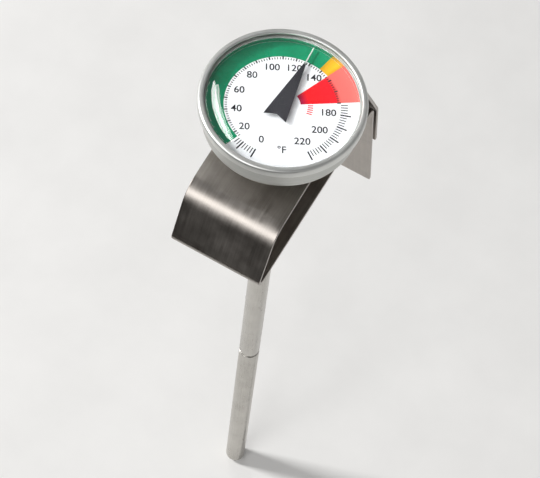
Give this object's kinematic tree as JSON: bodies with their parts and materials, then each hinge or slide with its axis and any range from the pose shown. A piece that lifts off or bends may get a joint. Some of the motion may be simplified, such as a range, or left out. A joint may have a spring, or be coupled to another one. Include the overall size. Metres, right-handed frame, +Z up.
{
  "type": "dial thermometer",
  "caption": "Pocket dial thermometer with a straight steel probe stem, a small round coloured dial, a calibration nut and a folded spring clip for a vessel's rim.",
  "frame": {"origin": "on the stem's axis at the lower edge of the immersion mark", "axes": "+Z up the stem to the dial, +Y from the stem to the vessel wall that the clip holds, +X across the clip's strip"},
  "size_m": [0.027, 0.0445, 0.1378],
  "materials": {
    "clip_steel": "cold rolled spring steel strip, satin and lightly scuffed",
    "stem_steel": "drawn stainless tube, satin",
    "case_steel": "drawn stainless sheet, satin, brighter on the rolled bezel",
    "nut_steel": "turned and milled stainless",
    "inner_steel": "plain machined steel",
    "ring_polished": "polished ring that mirrors the dial",
    "support_aluminium": "plain turned aluminium",
    "brass": "machined brass",
    "bimetal": "rolled bimetal strip",
    "seal_rubber": "soft black rubber",
    "seal_silicone": "milky grey silicone",
    "dial_white": "white enamel printed in green, yellow, red and black",
    "pointer_black": "matt black paint",
    "lens_clear": "clear, slightly domed"
  },
  "bodies": {
    "clip": {"clip_strip": "clip_steel"},
    "stem": {"stem_tube": "stem_steel", "stem_tip": "stem_steel", "coil_anchor": "brass", "bimetal_coil": "bimetal", "lower_bearing": "brass", "upper_bearing": "brass", "stem_collar": "inner_steel", "hex_nut": "nut_steel", "neck_seal": "seal_rubber", "spring_washer": "inner_steel"},
    "head": {"case_back": "case_steel", "dial_support": "support_aluminium", "dial_plate": "dial_white", "dial_ring": "ring_polished", "lens_seal": "seal_silicone", "lens": "lens_clear", "bezel_ring": "case_steel"},
    "pointer": {"coil_coupling": "brass", "pointer_shaft": "inner_steel", "pointer_hub": "pointer_black", "pointer_blade": "pointer_black"}
  },
  "joints": [
    {"name": "clip_slide", "type": "slide", "parent": "clip", "child": "stem", "axis": [0, 0, 1], "range_m": [0, 0.1]},
    {"name": "dial_turn", "type": "hinge", "parent": "stem", "child": "head", "pos_m": [0, 0, 0.081], "axis": [0, 0, 1], "continuous": true},
    {"name": "pointer_turn", "type": "hinge", "parent": "stem", "child": "pointer", "pos_m": [0, 0, 0.085], "axis": [0, 0, 1], "range_deg": [-130.2, 177.8], "stiffness_Nm_per_rad": 0.00002}
  ]
}
